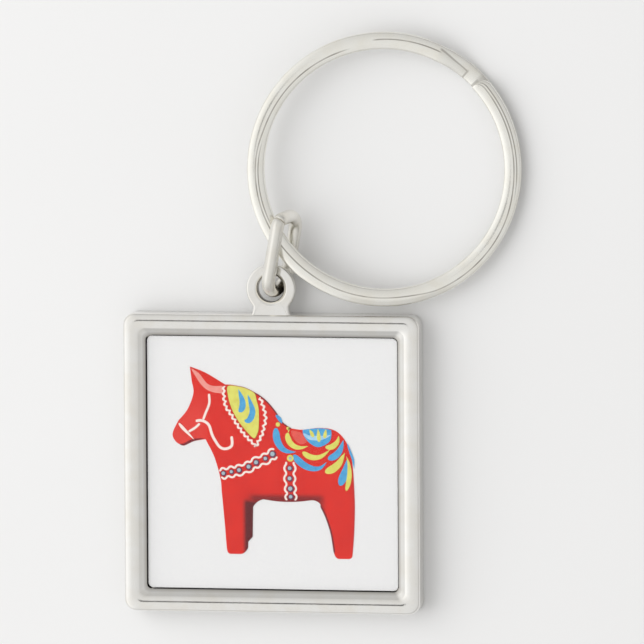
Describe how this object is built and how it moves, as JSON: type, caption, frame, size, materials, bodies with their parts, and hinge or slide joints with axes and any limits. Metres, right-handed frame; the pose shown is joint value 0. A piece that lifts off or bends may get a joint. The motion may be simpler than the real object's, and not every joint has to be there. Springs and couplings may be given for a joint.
{
  "type": "dala horse keyring",
  "caption": "Square metal keyring charm with a printed dala horse, on a wire link and a split ring.",
  "frame": {"origin": "centre of the case's flat back", "axes": "+Z out of the picture, +Y from the case to its eyelet, +X to the right of the picture"},
  "size_m": [0.0468, 0.0681, 0.0068],
  "materials": {
    "case_metal": "silver plating, lightly brushed",
    "wire_metal": "nickel plating, bright",
    "pad": "foam tape",
    "card": "white printed card",
    "ink": "printed ink",
    "film": "clear gloss film"
  },
  "bodies": {
    "case": {"case": "case_metal", "adhesive_pad": "pad", "print_card": "card", "ink_horse": "ink", "clear_film": "film"},
    "link": {"connecting_link": "wire_metal"},
    "split_ring": {"split_ring": "wire_metal"}
  },
  "joints": [
    {"name": "link_swing", "type": "hinge", "parent": "case", "child": "link", "pos_m": [0, 0.02055, 0.0024], "axis": [0, 0, 1], "range_deg": [-2, 50]},
    {"name": "ring_swing", "type": "hinge", "parent": "link", "child": "split_ring", "pos_m": [0.00228, 0.02884, 0.0035], "axis": [0, 0, 1], "range_deg": [-2, 40]}
  ]
}
